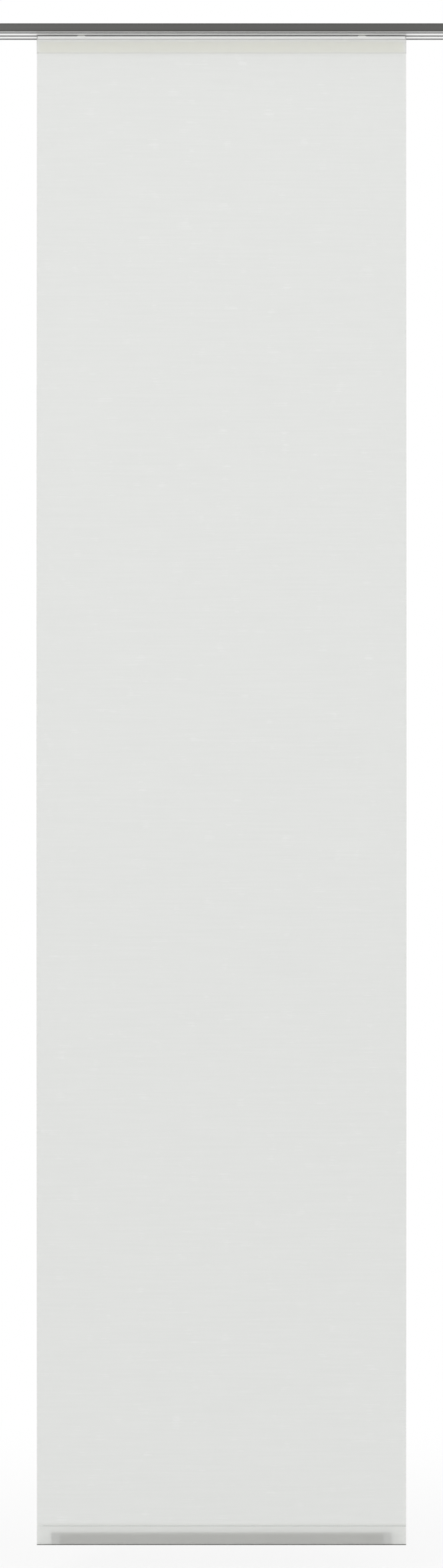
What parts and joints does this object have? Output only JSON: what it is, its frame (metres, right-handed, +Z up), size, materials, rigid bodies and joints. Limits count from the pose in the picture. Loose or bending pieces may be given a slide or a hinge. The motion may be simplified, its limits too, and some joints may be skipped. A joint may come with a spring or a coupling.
{
  "type": "panel curtain",
  "caption": "Plain translucent white cloth panel with a weighted bottom pocket, hung by hook-and-loop tape from a rolling carriage in a multi-run ceiling rail.",
  "frame": {"origin": "on the ceiling, over the middle of the rail and its middle run", "axes": "+X along the rail to the right as seen from the room, -Y towards the room, +Z up"},
  "size_m": [1.204, 0.0466, 2.472],
  "materials": {
    "white_metal": "white powder coat, half gloss",
    "grey_metal": "dark grey anodised, satin",
    "white_plastic": "moulded, fine satin",
    "wheel_plastic": "moulded, natural",
    "grey_plastic": "moulded, light grey",
    "steel": "bright zinc",
    "bar_aluminium": "mill finish, dull",
    "cloth": "fine plain weave, half see-through",
    "hook_fabric": "woven hook tape, cream",
    "loop_fabric": "woven loop tape, white"
  },
  "bodies": {
    "fixed_rail": {"rail": "white_metal", "front_fascia": "grey_metal", "rail_cap_left": "white_plastic", "rail_cap_right": "white_plastic", "end_stop_left": "white_plastic", "end_stop_right": "white_plastic", "stop_screw_left": "steel", "stop_screw_right": "steel", "ceiling_clip_left": "steel", "ceiling_clip_middle": "steel", "ceiling_clip_right": "steel"},
    "hanging_panel": {"carriage_profile": "white_metal", "carriage_cap_left": "grey_plastic", "carriage_cap_right": "grey_plastic", "glider_left": "white_plastic", "glider_right": "white_plastic", "axle_left": "steel", "axle_right": "steel", "hook_tape": "hook_fabric", "loop_tape": "loop_fabric", "fabric_panel": "cloth", "hem_pocket": "cloth", "weight_bar": "bar_aluminium", "bar_cap_left": "grey_plastic", "bar_cap_right": "grey_plastic"},
    "roller_left_front": {"wheel_left_front": "wheel_plastic"},
    "roller_left_back": {"wheel_left_back": "wheel_plastic"},
    "roller_right_front": {"wheel_right_front": "wheel_plastic"},
    "roller_right_back": {"wheel_right_back": "wheel_plastic"}
  },
  "joints": [
    {"name": "panel_slide", "type": "slide", "parent": "fixed_rail", "child": "hanging_panel", "axis": [1, 0, 0], "range_m": [-0.298, 0.298]},
    {"name": "roll_left_front", "type": "hinge", "parent": "hanging_panel", "child": "roller_left_front", "pos_m": [-0.2285, -0.0034, -0.00875], "axis": [0, 1, 0], "continuous": true},
    {"name": "roll_left_back", "type": "hinge", "parent": "hanging_panel", "child": "roller_left_back", "pos_m": [-0.2285, 0.0034, -0.00875], "axis": [0, 1, 0], "continuous": true},
    {"name": "roll_right_front", "type": "hinge", "parent": "hanging_panel", "child": "roller_right_front", "pos_m": [0.2285, -0.0034, -0.00875], "axis": [0, 1, 0], "continuous": true},
    {"name": "roll_right_back", "type": "hinge", "parent": "hanging_panel", "child": "roller_right_back", "pos_m": [0.2285, 0.0034, -0.00875], "axis": [0, 1, 0], "continuous": true}
  ],
  "couplings": [
    {"joint": "roll_left_front", "follows": "panel_slide", "rad_per_m": 333.33},
    {"joint": "roll_left_back", "follows": "panel_slide", "rad_per_m": 333.33},
    {"joint": "roll_right_front", "follows": "panel_slide", "rad_per_m": 333.33},
    {"joint": "roll_right_back", "follows": "panel_slide", "rad_per_m": 333.33}
  ]
}
